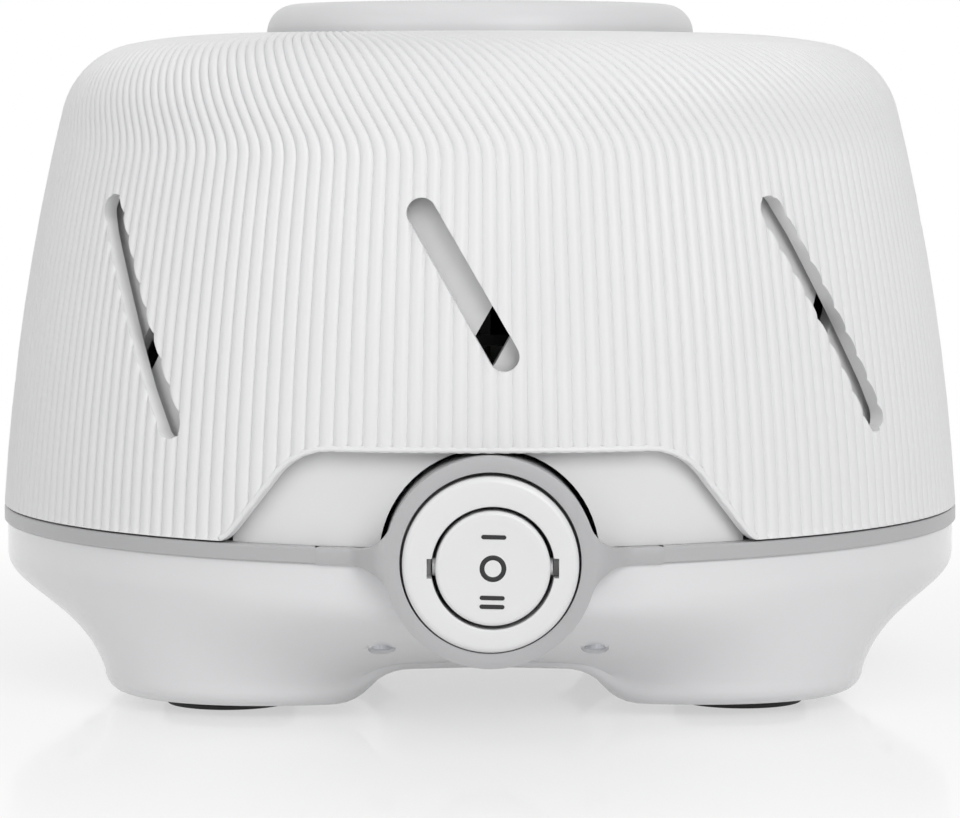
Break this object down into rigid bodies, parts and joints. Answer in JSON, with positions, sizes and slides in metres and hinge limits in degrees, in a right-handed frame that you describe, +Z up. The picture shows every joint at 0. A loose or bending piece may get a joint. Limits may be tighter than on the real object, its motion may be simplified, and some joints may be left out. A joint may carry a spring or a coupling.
{
  "type": "white noise sound machine",
  "caption": "Round tabletop fan sound machine with a ribbed turning shell, slotted vents, turning top cap and a round rocker switch in a grey trim ring.",
  "frame": {"origin": "on the table surface, under the middle of the object", "axes": "+Z up along the axis that the shell, the cap and the fan turn about; -Y is the front, where the switch is; +X is to the right seen from the front"},
  "size_m": [0.146, 0.151, 0.1018],
  "materials": {
    "base_white": "moulded gloss ABS",
    "trim_grey": "silver-grey satin moulded ring",
    "shell_white": "fine-ribbed satin moulded ABS",
    "drum_white": "satin moulded ABS",
    "cap_white": "satin moulded ABS",
    "switch_white": "polished moulded nylon with dark filled marks",
    "foot_rubber": "moulded soft rubber",
    "screw_steel": "zinc-plated steel",
    "plate_steel": "zinc-plated sheet steel",
    "shaft_steel": "ground steel",
    "lamination_steel": "stacked electrical steel laminations",
    "bobbin_plastic": "moulded nylon",
    "coil_copper": "enamelled wire under varnish",
    "bracket_aluminium": "pressed sheet",
    "bearing_bronze": "sintered bronze",
    "terminal_brass": "stamped brass",
    "gland_black": "moulded strain relief",
    "lead_insulation": "extruded insulation",
    "fan_plastic": "moulded polypropylene"
  },
  "bodies": {
    "base": {"base_shell": "base_white", "trim_ring": "trim_grey", "inner_housing": "drum_white", "rubber_foot_1": "foot_rubber", "rubber_foot_2": "foot_rubber", "rubber_foot_3": "foot_rubber", "rubber_foot_4": "foot_rubber", "housing_screw_1": "screw_steel", "housing_screw_2": "screw_steel", "housing_screw_3": "screw_steel", "housing_screw_4": "screw_steel", "housing_screw_5": "screw_steel", "housing_screw_6": "screw_steel", "housing_screw_7": "screw_steel", "housing_screw_8": "screw_steel", "switch_bezel": "switch_white", "switch_terminal_1": "terminal_brass", "switch_terminal_2": "terminal_brass", "switch_terminal_3": "terminal_brass", "motor_plate": "plate_steel", "motor_grommet_1": "foot_rubber", "motor_grommet_2": "foot_rubber", "motor_grommet_3": "foot_rubber", "motor_screw_1": "screw_steel", "motor_screw_2": "screw_steel", "motor_screw_3": "screw_steel", "stator_core": "lamination_steel", "coil_bobbin": "bobbin_plastic", "coil_winding": "coil_copper", "lower_bracket": "bracket_aluminium", "upper_bracket": "bracket_aluminium", "lower_bearing": "bearing_bronze", "upper_bearing": "bearing_bronze", "bracket_screw_1": "screw_steel", "bracket_screw_2": "screw_steel", "cord_gland": "gland_black", "lead_low_speed": "lead_insulation", "lead_high_speed": "lead_insulation", "lead_supply": "lead_insulation", "lead_neutral": "lead_insulation"},
    "shell": {"outer_shell": "shell_white"},
    "cap": {"top_cap": "cap_white", "cap_shutter": "drum_white", "cap_washer": "plate_steel", "cap_screw": "screw_steel"},
    "rocker": {"rocker": "switch_white", "rocker_plunger": "bearing_bronze"},
    "rotor": {"rotor_shaft": "shaft_steel", "rotor_core": "lamination_steel", "thrust_washer_low": "plate_steel", "thrust_washer_high": "plate_steel", "fan_wheel": "fan_plastic", "fan_clip": "plate_steel"}
  },
  "joints": [
    {"name": "shell_turn", "type": "hinge", "parent": "base", "child": "shell", "pos_m": [0, 0, 0.06], "axis": [0, 0, 1], "range_deg": [-14, 14]},
    {"name": "cap_turn", "type": "hinge", "parent": "base", "child": "cap", "pos_m": [0, 0, 0.095], "axis": [0, 0, 1], "range_deg": [0, 45]},
    {"name": "rocker_tilt", "type": "hinge", "parent": "base", "child": "rocker", "pos_m": [0, -0.0731, 0.0244], "axis": [1, 0, 0], "range_deg": [-8, 8]},
    {"name": "rotor_spin", "type": "hinge", "parent": "base", "child": "rotor", "pos_m": [0, 0, 0.04], "axis": [0, 0, 1], "continuous": true}
  ]
}
